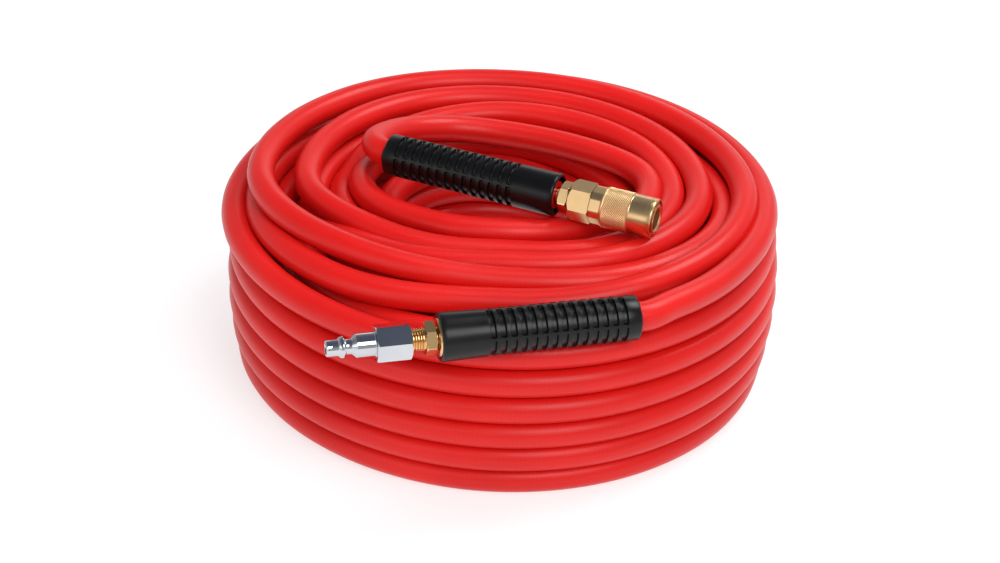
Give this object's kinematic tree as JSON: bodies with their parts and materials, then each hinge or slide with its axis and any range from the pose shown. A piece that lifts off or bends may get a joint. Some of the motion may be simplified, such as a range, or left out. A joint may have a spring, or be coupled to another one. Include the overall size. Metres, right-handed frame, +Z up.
{
  "type": "coiled air hose",
  "caption": "Red rubber air hose wound in a tall barrel-shaped coil, with black ribbed bend restrictors, a brass quick coupler on one end and a chrome plug on the other.",
  "frame": {"origin": "On the floor under the middle of the whole object's bounding box.", "axes": "+Z up, along the coil's axis; +X along the coupler's axis, out of its socket; +Y towards the side of the coil away from the plug."},
  "size_m": [0.3298, 0.3766, 0.1355],
  "materials": {
    "hose": "satin red rubber with a faint diagonal braid texture",
    "restrictor": "satin black moulded rubber",
    "polished_brass": "bright turned brass",
    "satin_brass": "satin brass, diamond knurl on the sleeve",
    "plated_steel": "polished plating",
    "spring_steel": "bright drawn wire",
    "seal": "black nitrile rubber"
  },
  "bodies": {
    "hose": {"hose_coil": "hose", "hose_coupler_lead": "hose", "hose_plug_lead": "hose", "hose_end_coupler": "hose", "hose_end_plug": "hose", "bend_restrictor_coupler": "restrictor", "bend_restrictor_plug": "restrictor", "ferrule_coupler": "polished_brass", "ferrule_plug": "polished_brass", "stem_coupler": "polished_brass", "stem_plug": "polished_brass", "plug": "plated_steel", "coupler_adapter": "satin_brass", "coupler_body": "satin_brass", "sleeve_spring": "spring_steel", "sleeve_retaining_ring": "spring_steel", "valve_spring": "spring_steel", "plug_seal": "seal"},
    "sleeve": {"coupler_sleeve": "satin_brass"},
    "valve": {"valve_poppet": "satin_brass", "poppet_seal": "seal"},
    "ball_1": {"locking_ball_1": "plated_steel"},
    "ball_2": {"locking_ball_2": "plated_steel"},
    "ball_3": {"locking_ball_3": "plated_steel"},
    "ball_4": {"locking_ball_4": "plated_steel"}
  },
  "joints": [
    {"name": "sleeve_slide", "type": "slide", "parent": "hose", "child": "sleeve", "axis": [-1, 0, 0], "range_m": [0, 0.005], "stiffness_N_per_m": 1500, "springref_m": -0.004, "deforming": ["sleeve_spring"]},
    {"name": "valve_slide", "type": "slide", "parent": "hose", "child": "valve", "axis": [-1, 0, 0], "range_m": [0, 0.0035], "stiffness_N_per_m": 400, "springref_m": -0.003, "deforming": ["valve_spring"]},
    {"name": "ball_1_slide", "type": "slide", "parent": "hose", "child": "ball_1", "axis": [0, 0.7071, 0.7071], "range_m": [0, 0.0015]},
    {"name": "ball_2_slide", "type": "slide", "parent": "hose", "child": "ball_2", "axis": [0, -0.7071, 0.7071], "range_m": [0, 0.0015]},
    {"name": "ball_3_slide", "type": "slide", "parent": "hose", "child": "ball_3", "axis": [0, -0.7071, -0.7071], "range_m": [0, 0.0015]},
    {"name": "ball_4_slide", "type": "slide", "parent": "hose", "child": "ball_4", "axis": [0, 0.7071, -0.7071], "range_m": [0, 0.0015]}
  ],
  "couplings": [
    {"joint": "ball_1_slide", "follows": "sleeve_slide", "ratio": 0.3},
    {"joint": "ball_2_slide", "follows": "sleeve_slide", "ratio": 0.3},
    {"joint": "ball_3_slide", "follows": "sleeve_slide", "ratio": 0.3},
    {"joint": "ball_4_slide", "follows": "sleeve_slide", "ratio": 0.3}
  ]
}
